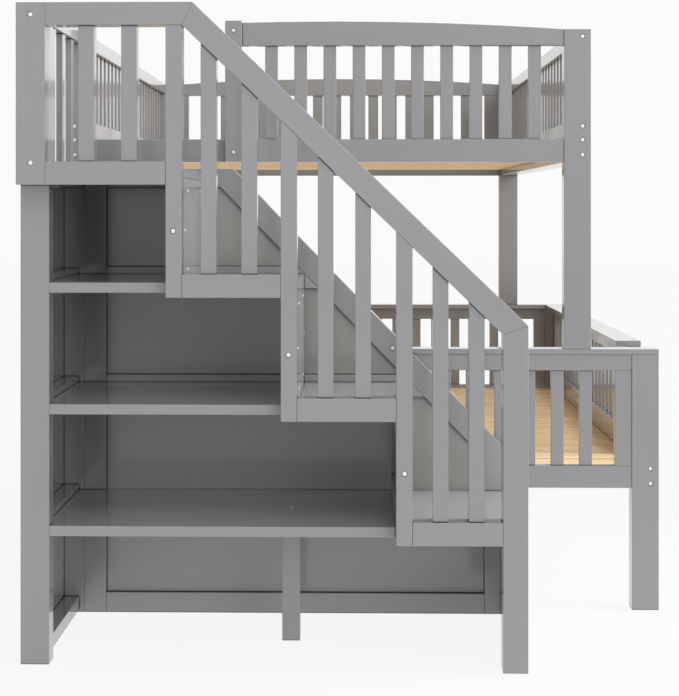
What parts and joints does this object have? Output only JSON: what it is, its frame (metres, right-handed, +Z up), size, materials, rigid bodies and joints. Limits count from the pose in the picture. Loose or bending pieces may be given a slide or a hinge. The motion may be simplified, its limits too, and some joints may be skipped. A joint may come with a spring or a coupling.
{
  "type": "bunk bed with stairs",
  "caption": "Painted wooden bunk bed with a narrower upper bunk over a wide lower bed, and a shelf staircase with a guard rail across its near end.",
  "frame": {"origin": "on the floor under the middle of the whole bed", "axes": "+Z up, +Y along the bed away from the stairs, +X towards the foot of the stairs"},
  "size_m": [1.652, 2.823, 1.6272],
  "materials": {
    "grey_paint": "satin grey paint on sanded wood",
    "pine": "bare planed pine",
    "steel": "bright zinc plated steel"
  },
  "bodies": {
    "root": {"barrel_nuts": "steel", "bolts": "steel", "entry_post": "grey_paint", "guard_balusters": "grey_paint", "guard_end_posts": "grey_paint", "guard_handrail": "grey_paint", "guard_lower_rails": "grey_paint", "guard_step_posts": "grey_paint", "guard_top_rail": "grey_paint", "lower_caps": "grey_paint", "lower_centre_beam": "pine", "lower_centre_legs": "pine", "lower_deck_cleats": "pine", "lower_deck_slats": "pine", "lower_end_bottom_rails": "grey_paint", "lower_end_stiles": "grey_paint", "lower_end_top_rails": "grey_paint", "lower_far_left_post": "grey_paint", "lower_far_right_post": "grey_paint", "lower_far_slats": "grey_paint", "lower_guard_frame": "grey_paint", "lower_guard_slats": "grey_paint", "lower_left_side_rail": "grey_paint", "lower_near_left_post": "grey_paint", "lower_near_right_post": "grey_paint", "lower_near_slats": "grey_paint", "lower_right_side_rail": "grey_paint", "platform": "grey_paint", "platform_side_guard": "grey_paint", "riser_cleats": "grey_paint", "stair_back_leg": "grey_paint", "stair_back_panels": "grey_paint", "stair_back_rails": "grey_paint", "stair_back_stiles": "grey_paint", "stair_front_leg": "grey_paint", "stair_middle_leg": "grey_paint", "stair_risers": "grey_paint", "stair_screws": "steel", "stair_side_panel": "grey_paint", "stair_side_rails": "grey_paint", "stair_stringer": "grey_paint", "tread_1": "grey_paint", "tread_2": "grey_paint", "tread_3": "grey_paint", "upper_deck_cleats": "grey_paint", "upper_deck_slats": "pine", "upper_end_boards": "grey_paint", "upper_far_left_post": "grey_paint", "upper_far_right_post": "grey_paint", "upper_far_slats": "grey_paint", "upper_far_stiles": "grey_paint", "upper_far_top_rail": "grey_paint", "upper_guard_frames": "grey_paint", "upper_guard_slats": "grey_paint", "upper_left_side_rail": "grey_paint", "upper_near_left_post": "grey_paint", "upper_near_right_post": "grey_paint", "upper_near_slats": "grey_paint", "upper_near_top_rail": "grey_paint", "upper_right_side_rail": "grey_paint"}
  },
  "joints": []
}
